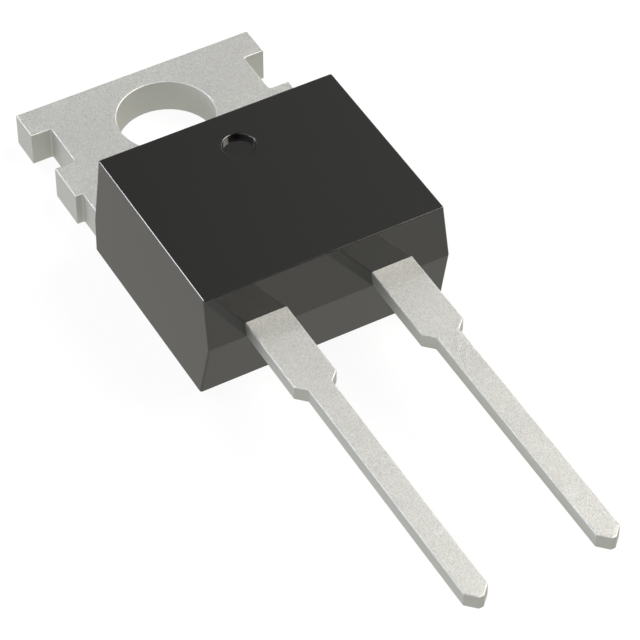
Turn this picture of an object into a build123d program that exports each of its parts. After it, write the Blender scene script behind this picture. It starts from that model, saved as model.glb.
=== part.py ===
"""Silicon carbide Schottky diode in a two-lead through-hole package with a drilled metal tab.

Millimetres, +Z up. The origin is the centre of the mounting hole on the back face.
The back face lies on Z = 0, the leads run towards -Y and the cathode lead is on the -X side.
One stamped copper piece is the tab, the plate under the chip and the cathode lead. The anode lead
is a second stamping. Chip, solder and two bond wires are sealed between them in moulded epoxy.
"""
import os
from math import atan2, degrees, radians, tan

from build123d import *

# Tab outside the moulding, from its rear edge forward
tab_width = 9.95
tab_thickness = 1.41
hole_diameter = 3.8
hole_to_rear_edge = 2.79
ear_length = 1.33
notch_length = 2.02
notch_depth = 0.83
shoulder_length = 1.74
neck_inset = 0.3
punched_corner_radius = 0.08
rolled_edge_radius = 0.05

# Plate inside the moulding, with the ledge and groove that the epoxy grips
neck_depth = 0.5
pad_width = 8.2
pad_front_margin = 2.28
ledge_width = 0.3
ledge_height = 0.5
groove_width = 0.5
groove_depth = 0.2
groove_from_neck = 0.6

# Leads
lead_pitch = 5.08
lead_thickness = 0.57
lead_height = 2.62
lead_width = 1.68
pin_width = 0.93
shoulder_from_body = 3.41
lead_length = 14.41
tip_width = 0.18
seal_depth = 0.15
bend_run = 1.0
bend_radius = 0.5
bend_to_front = 0.93

# Anode bond post, the wide inner end of the anode lead
post_width = 3.2
post_length = 1.6
post_to_front = 0.98
post_offset = 0.06

# Moulding
body_length = 8.96
body_width = 9.92
body_height = 4.7
body_from_hole = 3.74
front_draft = 10.6
front_foot_draft = 12.8
rear_draft = 7.6
rear_foot_draft = 2.0
side_draft = 1.8
body_edge_radius = 0.05
body_corner_radius = 0.08
pin_mark_diameter = 1.24
pin_mark_depth = 0.2
pin_mark_from_hole = 5.94

# Chip, its solder and its wires
chip_side = 2.6
chip_thickness = 0.35
chip_from_hole = 7.7
solder_thickness = 0.05
solder_margin = 0.12
wire_count = 2
wire_diameter = 0.38
wire_spacing = 0.95
foot_length = 0.95
foot_width = 0.52
foot_height = 0.24
loop_height = 0.85
loop_radius = 0.45
heel_angle = 48.0
toe_angle = 34.0

# Two places closer than this are the same place
same_place = 1e-4

# Places worked out from the sizes above
rear_edge_y = hole_to_rear_edge
notch_rear_y = rear_edge_y - ear_length
notch_front_y = notch_rear_y - notch_length
shoulder_front_y = notch_front_y - shoulder_length
body_rear_y = -body_from_hole
body_front_y = body_rear_y - body_length
neck_end_y = body_rear_y - neck_depth
seal_y = body_front_y + seal_depth
pad_front_y = body_front_y + pad_front_margin
lead_top = lead_height + lead_thickness
cathode_x = -lead_pitch / 2
anode_x = lead_pitch / 2
chip_y = -chip_from_hole
chip_base = tab_thickness + solder_thickness
chip_top = chip_base + chip_thickness
post_front_y = body_front_y + post_to_front
post_x = anode_x + post_offset
post_y = post_front_y + post_length / 2


def top_outline(solid, height, skip_y=None):
    """The edges of the flat face at this height, without the one that lies along skip_y."""
    edges = []
    for edge in solid.edges():
        box = edge.bounding_box()
        flat = max(abs(box.min.Z - height), abs(box.max.Z - height)) < same_place
        skipped = skip_y is not None and max(abs(box.min.Y - skip_y), abs(box.max.Y - skip_y)) < same_place
        if flat and not skipped:
            edges.append(edge)
    return edges


def mirrored_outline(points):
    """A closed face from half an outline, given from rear to front at positive X."""
    other_side = [(-x, y) for x, y in reversed(points)]
    return make_face(Polyline(*points, *other_side, close=True))


def tab_plate():
    """The tab up to the moulding: two ears, a notch and a shoulder on each side, and the hole."""
    half = tab_width / 2
    half_notch = half - notch_depth
    half_neck = half - neck_inset
    outline = mirrored_outline([
        (half, rear_edge_y),
        (half, notch_rear_y),
        (half_notch, notch_rear_y),
        (half_notch, notch_front_y),
        (half, notch_front_y),
        (half, shoulder_front_y),
        (half_neck, shoulder_front_y),
        (half_neck, body_rear_y),
    ])
    plate = extrude(outline, tab_thickness)
    inner_corners = [
        edge for edge in plate.edges().filter_by(Axis.Z)
        if abs(abs(edge.center().X) - half_notch) < same_place
        or (abs(abs(edge.center().X) - half_neck) < same_place
            and abs(edge.center().Y - shoulder_front_y) < same_place)
    ]
    plate = fillet(inner_corners, punched_corner_radius)
    plate -= extrude(Circle(hole_diameter / 2), tab_thickness)
    return fillet(top_outline(plate, tab_thickness, body_rear_y), rolled_edge_radius)


def plate_outline(inset):
    """The sealed plate seen from above, its chip pad drawn in on three sides by the inset."""
    half_neck = tab_width / 2 - neck_inset
    half_pad = pad_width / 2 - inset
    return mirrored_outline([
        (half_neck, body_rear_y),
        (half_neck, neck_end_y),
        (half_pad, neck_end_y),
        (half_pad, pad_front_y + inset),
    ])


def sealed_plate():
    """The plate inside the moulding: neck, chip pad with its undercut ledge, and a groove across."""
    foot = extrude(plate_outline(ledge_width), ledge_height)
    ledge = Pos(0, 0, ledge_height) * extrude(plate_outline(0), tab_thickness - ledge_height)
    groove_y = neck_end_y - groove_from_neck
    groove_section = make_face(Polyline(
        (groove_y - groove_width / 2, tab_thickness),
        (groove_y, tab_thickness - groove_depth),
        (groove_y + groove_width / 2, tab_thickness),
        close=True))
    groove = extrude(Plane.YZ * groove_section, pad_width / 2, both=True)
    return foot + ledge - groove


def bare_lead(x):
    """A lead outside the moulding: wide root, shoulder, narrow pin and pointed tip."""
    shoulder_y = body_front_y - shoulder_from_body
    tip_y = body_front_y - lead_length
    half, half_pin, half_tip = lead_width / 2, pin_width / 2, tip_width / 2
    outline = mirrored_outline([
        (half, seal_y),
        (half, shoulder_y),
        (half_pin, shoulder_y - (half - half_pin)),
        (half_pin, tip_y + (half_pin - half_tip)),
        (half_tip, tip_y),
    ])
    lead = extrude(outline, lead_thickness)
    lead = fillet(top_outline(lead, lead_thickness, seal_y), rolled_edge_radius)
    return Pos(x, 0, lead_height) * lead


def cathode_bend():
    """The strip that climbs from the chip plate to the lead's level, with the lead's own section."""
    plate_level = tab_thickness - lead_thickness / 2
    lead_level = lead_height + lead_thickness / 2
    bend_y = body_front_y + bend_to_front
    path = FilletPolyline(
        (cathode_x, pad_front_y + ledge_width, plate_level),
        (cathode_x, bend_y + bend_run, plate_level),
        (cathode_x, bend_y, lead_level),
        (cathode_x, seal_y, lead_level),
        radius=bend_radius)
    start = Plane(origin=path @ 0, z_dir=path % 0, x_dir=(1, 0, 0))
    return sweep(start * Rectangle(lead_width, lead_thickness), path)


def tab_with_cathode_lead():
    """Tab, chip plate, bend and cathode lead, stamped and formed as one piece."""
    return tab_plate() + sealed_plate() + cathode_bend() + bare_lead(cathode_x)


def anode_lead():
    """The anode lead, flat from its bond post to its tip."""
    post = Pos(post_x, post_y) * RectangleRounded(post_width, post_length, punched_corner_radius)
    root = Pos(anode_x, (seal_y + post_y) / 2) * Rectangle(lead_width, post_y - seal_y)
    sealed_end = Pos(0, 0, lead_height) * extrude(post + root, lead_thickness)
    return sealed_end + bare_lead(anode_x)


def chip():
    """The silicon carbide die, sawn square."""
    return Pos(0, chip_y, chip_base) * Box(
        chip_side, chip_side, chip_thickness, align=(Align.CENTER, Align.CENTER, Align.MIN))


def chip_solder():
    """The solder film under the chip, spread a little wider at its foot."""
    foot = Pos(0, chip_y, tab_thickness) * Rectangle(
        chip_side + 2 * solder_margin, chip_side + 2 * solder_margin)
    head = Pos(0, chip_y, chip_base) * Rectangle(chip_side, chip_side)
    return loft([foot, head])


def bond_wire(index):
    """One aluminium wire with a flattened wedge bond on the chip and one on the anode post."""
    offset = (index - (wire_count - 1) / 2) * wire_spacing
    start = Vector(offset, chip_y, chip_top)
    end = Vector(post_x + offset, post_y, lead_top)
    span = Vector(end.X - start.X, end.Y - start.Y, 0)
    heading = degrees(atan2(span.Y, span.X))
    radius = wire_diameter / 2
    climb = end.Z - start.Z
    crest = climb + loop_height
    leave = (foot_length - foot_width) / 2
    rise = (crest - radius) / tan(radians(heel_angle))
    fall = (crest - climb - radius) / tan(radians(toe_angle))
    path = FilletPolyline(
        (leave, radius),
        (leave + rise, crest),
        (span.length - leave - fall, crest),
        (span.length - leave, climb + radius),
        radius=loop_radius)
    upright = Plane(origin=start, x_dir=(span.X, span.Y, 0), z_dir=(span.Y, -span.X, 0))
    route = upright * path
    tube = sweep(Plane(origin=route @ 0, z_dir=route % 0) * Circle(radius), route)
    foot = extrude(SlotOverall(foot_length, foot_width), foot_height)
    wire = tube
    for place in (start, end):
        wire += Pos(*place) * Rot(0, 0, heading) * foot
    return wire


def body_blank():
    """The moulding's outer form: drafted sides, and a crease where the two mould halves met."""
    front_top_y = body_front_y + (body_height - lead_height) * tan(radians(front_draft))
    front_foot_y = body_front_y + lead_height * tan(radians(front_foot_draft))
    rear_top_y = body_rear_y - (body_height - tab_thickness) * tan(radians(rear_draft))
    rear_foot_y = body_rear_y - tab_thickness * tan(radians(rear_foot_draft))
    side_view = make_face(Polyline(
        (front_foot_y, 0),
        (body_front_y, lead_height),
        (front_top_y, body_height),
        (rear_top_y, body_height),
        (body_rear_y, tab_thickness),
        (rear_foot_y, 0),
        close=True))
    half_foot = body_width / 2
    half_top = half_foot - body_height * tan(radians(side_draft))
    front_view = make_face(Polyline(
        (-half_foot, 0), (half_foot, 0), (half_top, body_height), (-half_top, body_height), close=True))
    along_x = extrude(Plane.YZ * side_view, body_width, both=True)
    along_y = extrude(Plane.XZ * front_view, body_from_hole + 2 * body_length)
    blank = along_x & along_y
    corner_edges = [edge for edge in blank.edges() if edge.bounding_box().size.Z > same_place]
    blank = fillet(corner_edges, body_corner_radius)
    blank = fillet(top_outline(blank, body_height), body_edge_radius)
    mark = Pos(0, -pin_mark_from_hole, body_height) * extrude(
        Circle(pin_mark_diameter / 2), -pin_mark_depth)
    blank -= mark
    rim = [
        edge for edge in blank.edges().filter_by(GeomType.CIRCLE)
        if abs(edge.radius - pin_mark_diameter / 2) < same_place
        and abs(edge.center().Z - body_height) < same_place
    ]
    return fillet(rim, body_edge_radius)


def moulded_body(sealed_pieces):
    """The epoxy moulding, filling all the room that the sealed pieces leave."""
    body = body_blank()
    for piece in sealed_pieces:
        body -= piece
    return body


pieces = {
    "tab_with_cathode_lead": tab_with_cathode_lead(),
    "anode_lead": anode_lead(),
    "chip_solder": chip_solder(),
    "silicon_carbide_chip": chip(),
}
for number in range(wire_count):
    pieces[f"bond_wire_{number + 1}"] = bond_wire(number)
pieces["moulded_body"] = moulded_body(list(pieces.values()))

os.makedirs("parts", exist_ok=True)
for name, shape in pieces.items():
    export_step(shape, f"parts/{name}.step")
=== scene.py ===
"""Looks of a two-lead power diode: a tin-plated copper frame in a black epoxy moulding.

Metres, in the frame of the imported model. The part lies on its flat back on a pale floor.
"""
import math
import bmesh
import bpy
from mathutils import Matrix, Vector


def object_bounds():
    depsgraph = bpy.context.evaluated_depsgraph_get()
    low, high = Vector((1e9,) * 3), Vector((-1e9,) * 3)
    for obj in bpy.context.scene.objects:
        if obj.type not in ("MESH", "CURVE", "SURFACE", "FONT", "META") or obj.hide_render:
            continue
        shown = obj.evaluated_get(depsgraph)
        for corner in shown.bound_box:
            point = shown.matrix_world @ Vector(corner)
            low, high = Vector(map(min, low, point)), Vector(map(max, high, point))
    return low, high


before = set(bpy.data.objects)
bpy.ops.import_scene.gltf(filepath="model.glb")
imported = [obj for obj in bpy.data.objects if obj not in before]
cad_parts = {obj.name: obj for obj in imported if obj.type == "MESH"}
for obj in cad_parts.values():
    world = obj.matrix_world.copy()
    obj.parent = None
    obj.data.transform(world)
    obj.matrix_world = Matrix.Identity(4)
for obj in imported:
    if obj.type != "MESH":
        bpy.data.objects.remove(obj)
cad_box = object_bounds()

MM = 0.001
white = "#ffffff"

# Camera, as worked out from the photograph's edges
camera_place = Vector((-39.774, -82.845, 85.296)) * MM
camera_azimuth = -29.28
camera_elevation = 46.026
lens_mm = 184.0
sensor_mm = 36.0
nearest_seen = 1 * MM
farthest_seen = 10.0

# Floor: its paint as a lit surface, then its paint and glow as the camera sees it and as gloss mirrors it
floor_side = 900 * MM
floor_gap = 0.01 * MM
floor_paint = "#b0b0b0"
floor_paint_seen = "#646464"
floor_glow_seen = 0.92
floor_paint_mirrored = "#202020"
floor_glow_mirrored = 0.5
floor_glow_tint = "#fffdf5"

# Room round the part: for each soft panel the way to its middle, how tightly it is bounded, its level
# and its colour
room_panels = {
    "left_wall": ((-1, 0.3, 0.1), 1.0, 0.9, "#f1f2ff"),
    "right_wall": ((1, 0, 0.2), 2.0, 0.9, "#fffefc"),
}

# Soft boxes: for each the way to it from the part, its width and height, its turn about its own axis in
# degrees, its level and its colour. The strip behind draws the light line on the moulding's left top edge,
# the low box lights the left-hand sides of the tin, and the large one lights its tops
softbox_distance = 0.5
softboxes = {
    "left_back_box": ((-0.38, 0.65, 0.66), 0.30, 0.05, -44.0, 9.5, white),
    "left_low_box": ((-0.9, 0.43, 0.1), 0.5, 0.08, 0.0, 5.5, "#f1f2ff"),
    "right_box": ((0.64, -0.12, 0.76), 0.34, 0.28, 0.0, 5.9, "#fff9f0"),
}

# The range that most values of a noise texture fall in
noise_low = 0.3
noise_high = 0.7

# Matte tin: crystals, the pebbled relief on them, and wear in broad clouds. Real crystals and pebbles are
# a few thousandths of a millimetre across and are drawn this coarse so that they show
crystal_mm = 0.032
crystal_shades = ((0.15, "#dee0da"), (0.85, "#fefffd"))
pebble_mm = 0.02
pebble_height = 0.0136 * MM
pebble_turn = (0.5, 0.4, 0.3)
wear_cloud_mm = 2.5
wear_dulls_by = 0.04
# Colour of the upright sheared edges: a plain grey without crystals, also painted darker than the rolled
# faces as painted shade on the upright faces
sheared_grey_and_painted_shade = "#e2e4df"

# Matte tin by how level a face lies, from 0 for upright to 1 for level: where the sheared edge, with its
# painted shade, ends, where the rolled face begins, and the roughness at upright, rounded and level places
sheared_up_to = 0.5
rolled_from = 0.95
tin_roughness = ((0.2, 0.52), (0.6, 0.75), (0.97, 0.37))

# Moulded epoxy: plain epoxy has an index near 1.55, and the photographed skin mirrors more than that.
# Real filler grains are some hundredths of a millimetre across and are drawn coarse so that they show
epoxy_index = 2.05
filler_mm = 0.06
filler_shades = ((noise_low, "#181816"), (noise_high, "#1c1c1a"))
flow_mm = 3.0
skin_smoothest = 0.08
skin_dullest = 0.12

# Silicon carbide
die_index = 2.6
die_roughness = 0.25
lapped_grain_mm = 0.02
lapped_dark = "#5a6660"
lapped_light = "#7d8a82"


def linear(hex_colour):
    """An sRGB hex colour as linear red, green, blue and alpha."""
    values = [int(hex_colour[start:start + 2], 16) / 255 for start in (1, 3, 5)]
    return [v / 12.92 if v <= 0.04045 else ((v + 0.055) / 1.055) ** 2.4 for v in values] + [1.0]


def add(tree, kind, settings=None, values=None, links=None, shades=()):
    """Adds a node, sets its properties, the values of its inputs and the linear shades along its colour
    ramp, and links outputs to its inputs."""
    node = tree.nodes.new(kind)
    for name, value in (settings or {}).items():
        setattr(node, name, value)
    for name, value in (values or {}).items():
        node.inputs[name].default_value = value
    for name, source in (links or {}).items():
        tree.links.new(source, node.inputs[name])
    for stop, (position, shade) in enumerate(shades):
        if stop == len(node.color_ramp.elements):
            node.color_ramp.elements.new(position)
        node.color_ramp.elements[stop].position = position
        node.color_ramp.elements[stop].color = shade
    return node


def start_material(name):
    """A material with an empty node tree."""
    material = bpy.data.materials.new(name)
    material.use_nodes = True
    material.node_tree.nodes.clear()
    return material, material.node_tree


def per_metre(size_mm):
    """The texture scale whose features are about this size."""
    return 1 / (size_mm * MM)


def matte_tin_plate():
    """Matte tin plated on stamped copper. Barrel plating leaves fine crystals on the rolled faces, which
    sparkle light and dark; the sheared edges have no such relief, are a little duller, and are painted
    greyer and darker as painted shade on the upright faces."""
    material, tree = start_material("matte_tin_plate_on_copper")
    place = add(tree, "ShaderNodeTexCoord")
    shape = add(tree, "ShaderNodeNewGeometry")
    facing = add(tree, "ShaderNodeSeparateXYZ", links={"Vector": shape.outputs["True Normal"]})
    levelness = add(tree, "ShaderNodeMath", {"operation": "ABSOLUTE"}, links={0: facing.outputs["Z"]})
    rolled = add(tree, "ShaderNodeMapRange", values={"From Min": sheared_up_to, "From Max": rolled_from},
                 links={"Value": levelness.outputs["Value"]})

    crystals = add(tree, "ShaderNodeTexVoronoi", values={"Scale": per_metre(crystal_mm)},
                   links={"Vector": place.outputs["Object"]})
    plated = add(tree, "ShaderNodeValToRGB", links={"Fac": crystals.outputs["Color"]},
                 shades=[(position, linear(shade)) for position, shade in crystal_shades])
    # Upright faces take the sheared colour, which carries painted shade as well as the plain edge's grey
    colour = add(tree, "ShaderNodeMix", {"data_type": "RGBA"}, values={"A": linear(sheared_grey_and_painted_shade)},
                 links={"Factor": rolled.outputs["Result"], "B": plated.outputs["Color"]})

    # Turned, so that no flat face lies along the noise's own grid, where it fades
    turned = add(tree, "ShaderNodeMapping", values={"Rotation": pebble_turn},
                 links={"Vector": place.outputs["Object"]})
    pebbles = add(tree, "ShaderNodeTexNoise", values={"Scale": per_metre(pebble_mm), "Detail": 1.0},
                  links={"Vector": turned.outputs["Vector"]})
    sparkle = add(tree, "ShaderNodeMath", {"operation": "MULTIPLY"},
                  links={0: rolled.outputs["Result"], 1: pebbles.outputs["Fac"]})
    relief = add(tree, "ShaderNodeBump", values={"Strength": 1.0, "Distance": pebble_height},
                 links={"Height": sparkle.outputs["Value"]})

    # Dullest on the rounded edges between the sheared and the rolled faces
    dullness = add(tree, "ShaderNodeValToRGB", links={"Fac": levelness.outputs["Value"]},
                   shades=[(level, (rough, rough, rough, 1.0)) for level, rough in tin_roughness])
    clouds = add(tree, "ShaderNodeTexNoise", values={"Scale": per_metre(wear_cloud_mm), "Detail": 3.0},
                 links={"Vector": place.outputs["Object"]})
    wear = add(tree, "ShaderNodeMapRange",
               values={"From Min": noise_low, "From Max": noise_high,
                       "To Min": 0.0, "To Max": wear_dulls_by},
               links={"Value": clouds.outputs["Fac"]})
    roughness = add(tree, "ShaderNodeMath", {"operation": "ADD"},
                    links={0: dullness.outputs["Color"], 1: wear.outputs["Result"]})

    shader = add(tree, "ShaderNodeBsdfPrincipled", values={"Metallic": 1.0},
                 links={"Base Color": colour.outputs["Result"], "Roughness": roughness.outputs["Value"],
                        "Normal": relief.outputs["Normal"]})
    add(tree, "ShaderNodeOutputMaterial", links={"Surface": shader.outputs["BSDF"]})
    return material


def moulded_epoxy():
    """Black epoxy filled with fine silica, transfer moulded in a polished die. The skin mirrors what lies
    beside it, faintly and a little softly, over a charcoal body with barely visible filler."""
    material, tree = start_material("black_moulded_epoxy")
    place = add(tree, "ShaderNodeTexCoord")
    filler = add(tree, "ShaderNodeTexNoise", values={"Scale": per_metre(filler_mm), "Detail": 2.0},
                 links={"Vector": place.outputs["Object"]})
    colour = add(tree, "ShaderNodeValToRGB", links={"Fac": filler.outputs["Fac"]},
                 shades=[(position, linear(shade)) for position, shade in filler_shades])
    flow = add(tree, "ShaderNodeTexNoise", values={"Scale": per_metre(flow_mm), "Detail": 3.0},
               links={"Vector": place.outputs["Object"]})
    roughness = add(tree, "ShaderNodeMapRange",
                    values={"From Min": noise_low, "From Max": noise_high,
                            "To Min": skin_smoothest, "To Max": skin_dullest},
                    links={"Value": flow.outputs["Fac"]})
    shader = add(tree, "ShaderNodeBsdfPrincipled", values={"IOR": epoxy_index},
                 links={"Base Color": colour.outputs["Color"], "Roughness": roughness.outputs["Result"]})
    add(tree, "ShaderNodeOutputMaterial", links={"Surface": shader.outputs["BSDF"]})
    return material


def silicon_carbide_die():
    """A die sawn from a lapped silicon carbide wafer: grey-green and semi-polished, with a fine grain. It
    lies inside the moulding, out of sight."""
    material, tree = start_material("sawn_silicon_carbide")
    place = add(tree, "ShaderNodeTexCoord")
    grain = add(tree, "ShaderNodeTexNoise", values={"Scale": per_metre(lapped_grain_mm), "Detail": 2.0},
                links={"Vector": place.outputs["Object"]})
    colour = add(tree, "ShaderNodeValToRGB", links={"Fac": grain.outputs["Fac"]},
                 shades=[(0.0, linear(lapped_dark)), (1.0, linear(lapped_light))])
    shader = add(tree, "ShaderNodeBsdfPrincipled", values={"Roughness": die_roughness, "IOR": die_index},
                 links={"Base Color": colour.outputs["Color"]})
    add(tree, "ShaderNodeOutputMaterial", links={"Surface": shader.outputs["BSDF"]})
    return material


def grained_metal(name, dark, light, grain_mm, roughness):
    """A plain metal whose colour wavers with its grain."""
    material, tree = start_material(name)
    place = add(tree, "ShaderNodeTexCoord")
    grain = add(tree, "ShaderNodeTexNoise", values={"Scale": per_metre(grain_mm), "Detail": 2.0},
                links={"Vector": place.outputs["Object"]})
    colour = add(tree, "ShaderNodeValToRGB", links={"Fac": grain.outputs["Fac"]},
                 shades=[(0.0, linear(dark)), (1.0, linear(light))])
    shader = add(tree, "ShaderNodeBsdfPrincipled", values={"Metallic": 1.0, "Roughness": roughness},
                 links={"Base Color": colour.outputs["Color"]})
    add(tree, "ShaderNodeOutputMaterial", links={"Surface": shader.outputs["BSDF"]})
    return material


def drawn_aluminium_wire():
    """Aluminium bond wire, bright from the drawing die. It lies inside the moulding, out of sight."""
    return grained_metal("drawn_aluminium_wire", "#c4c6c8", "#dcdee0", grain_mm=0.05, roughness=0.3)


def dull_solder():
    """Soft solder that froze grey and grainy under the die. It lies inside the moulding, out of sight."""
    return grained_metal("dull_solder", "#8c8d8c", "#b0b1af", grain_mm=0.08, roughness=0.5)


def lifted_paint(tree, colour, lift, tint=white):
    """Matte paint of this colour under an even glow, so that only a part of it can fall into shadow."""
    paint = add(tree, "ShaderNodeBsdfDiffuse", values={"Color": linear(colour)})
    glow = add(tree, "ShaderNodeEmission", values={"Color": linear(tint), "Strength": lift})
    return add(tree, "ShaderNodeAddShader", links={0: paint.outputs["BSDF"], 1: glow.outputs["Emission"]})


def white_floor():
    """A matte white sweep. The camera sees it lifted to white, with the part's own shadow left faintly
    in. Metal and gloss mirror it as an even pale grey that keeps a trace of the shadow."""
    material, tree = start_material("white_floor")
    seen = add(tree, "ShaderNodeLightPath")
    mirrored = add(tree, "ShaderNodeMath", {"operation": "MAXIMUM"},
                   links={0: seen.outputs["Is Glossy Ray"], 1: seen.outputs["Is Transmission Ray"]})
    lit = add(tree, "ShaderNodeBsdfDiffuse", values={"Color": linear(floor_paint)})
    in_mirrors = lifted_paint(tree, floor_paint_mirrored, floor_glow_mirrored, floor_glow_tint)
    in_view = lifted_paint(tree, floor_paint_seen, floor_glow_seen)
    glossy = add(tree, "ShaderNodeMixShader", links={
        0: mirrored.outputs["Value"], 1: lit.outputs["BSDF"], 2: in_mirrors.outputs["Shader"]})
    both = add(tree, "ShaderNodeMixShader", links={
        0: seen.outputs["Is Camera Ray"], 1: glossy.outputs["Shader"], 2: in_view.outputs["Shader"]})
    add(tree, "ShaderNodeOutputMaterial", links={"Surface": both.outputs["Shader"]})
    return material


def build_floor():
    """The floor, just under the part's back face."""
    mesh = bpy.data.meshes.new("floor")
    shape = bmesh.new()
    bmesh.ops.create_grid(shape, x_segments=1, y_segments=1, size=floor_side / 2,
                          matrix=Matrix.Translation((0, 0, cad_box[0].z - floor_gap)))
    shape.to_mesh(mesh)
    shape.free()
    floor = bpy.data.objects.new("floor", mesh)
    bpy.context.scene.collection.objects.link(floor)
    mesh.materials.append(white_floor())


def soft_panel(tree, direction, focus, brightness):
    """The level of a panel that is brightest in one direction and fades out round it."""
    place = add(tree, "ShaderNodeTexCoord")
    towards = add(tree, "ShaderNodeVectorMath", {"operation": "DOT_PRODUCT"},
                  values={1: Vector(direction).normalized()}, links={0: place.outputs["Generated"]})
    facing = add(tree, "ShaderNodeMath", {"operation": "MAXIMUM"}, values={1: 0.0},
                 links={0: towards.outputs["Value"]})
    spread = add(tree, "ShaderNodeMath", {"operation": "POWER"}, values={1: focus},
                 links={0: facing.outputs["Value"]})
    return add(tree, "ShaderNodeMath", {"operation": "MULTIPLY"}, values={1: brightness},
               links={0: spread.outputs["Value"]})


def build_world():
    """Studio surroundings: white for the camera, and a room of soft panels for the part."""
    world = bpy.data.worlds.new("studio")
    world.use_nodes = True
    tree = world.node_tree
    tree.nodes.clear()
    seen = add(tree, "ShaderNodeLightPath")
    room = None
    for direction, focus, brightness, colour in room_panels.values():
        level = soft_panel(tree, direction, focus, brightness)
        panel = add(tree, "ShaderNodeBackground", values={"Color": linear(colour)},
                    links={"Strength": level.outputs["Value"]})
        room = panel if room is None else add(tree, "ShaderNodeAddShader",
                                              links={0: room.outputs[0], 1: panel.outputs["Background"]})
    backdrop = add(tree, "ShaderNodeBackground", values={"Color": linear(white)})
    both = add(tree, "ShaderNodeMixShader", links={
        0: seen.outputs["Is Camera Ray"], 1: room.outputs[0], 2: backdrop.outputs["Background"]})
    add(tree, "ShaderNodeOutputWorld", links={"Surface": both.outputs["Shader"]})
    bpy.context.scene.world = world


def add_softbox(name, direction, width, height, roll, radiance, colour):
    """A rectangular soft box that faces the middle of the part."""
    lamp = bpy.data.lights.new(name, "AREA")
    lamp.color = linear(colour)[:3]
    lamp.shape = "RECTANGLE"
    lamp.size = width
    lamp.size_y = height
    lamp.energy = radiance * math.pi * width * height
    target = (cad_box[0] + cad_box[1]) / 2
    back = Vector(direction).normalized()
    box = bpy.data.objects.new(name, lamp)
    box.location = target + back * softbox_distance
    box.rotation_euler = (-back).to_track_quat("-Z", "Y").to_euler()
    box.rotation_euler.rotate_axis("Z", math.radians(roll))
    bpy.context.scene.collection.objects.link(box)


def build_camera():
    """The photograph's view."""
    azimuth = math.radians(camera_azimuth)
    elevation = math.radians(camera_elevation)
    back = Vector((math.sin(azimuth) * math.cos(elevation), -math.cos(azimuth) * math.cos(elevation),
                   math.sin(elevation)))
    lens = bpy.data.cameras.new("camera")
    lens.lens = lens_mm
    lens.sensor_width = sensor_mm
    lens.clip_start = nearest_seen
    lens.clip_end = farthest_seen
    camera = bpy.data.objects.new("camera", lens)
    camera.location = camera_place
    camera.rotation_euler = (-back).to_track_quat("-Z", "Y").to_euler()
    bpy.context.scene.collection.objects.link(camera)
    bpy.context.scene.camera = camera


def dress(node, material):
    """Gives a CAD node its finish."""
    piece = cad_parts[node]
    if not piece.material_slots:
        piece.data.materials.append(material)
    for held in piece.material_slots:
        held.material = material


tin = matte_tin_plate()
wire = drawn_aluminium_wire()
finishes = {
    "tab_with_cathode_lead": (tin, "tin_plate"),
    "anode_lead": (tin, "tin_plate"),
    "moulded_body": (moulded_epoxy(), "epoxy"),
    "silicon_carbide_chip": (silicon_carbide_die(), "silicon_carbide"),
    "chip_solder": (dull_solder(), "solder"),
    "bond_wire_1": (wire, "bond_wire"),
    "bond_wire_2": (wire, "bond_wire"),
}
for node, (material, slot) in finishes.items():
    dress(node, material)

build_floor()
build_world()
for name, box in softboxes.items():
    add_softbox(name, *box)
build_camera()
bpy.context.scene.view_settings.view_transform = "Standard"
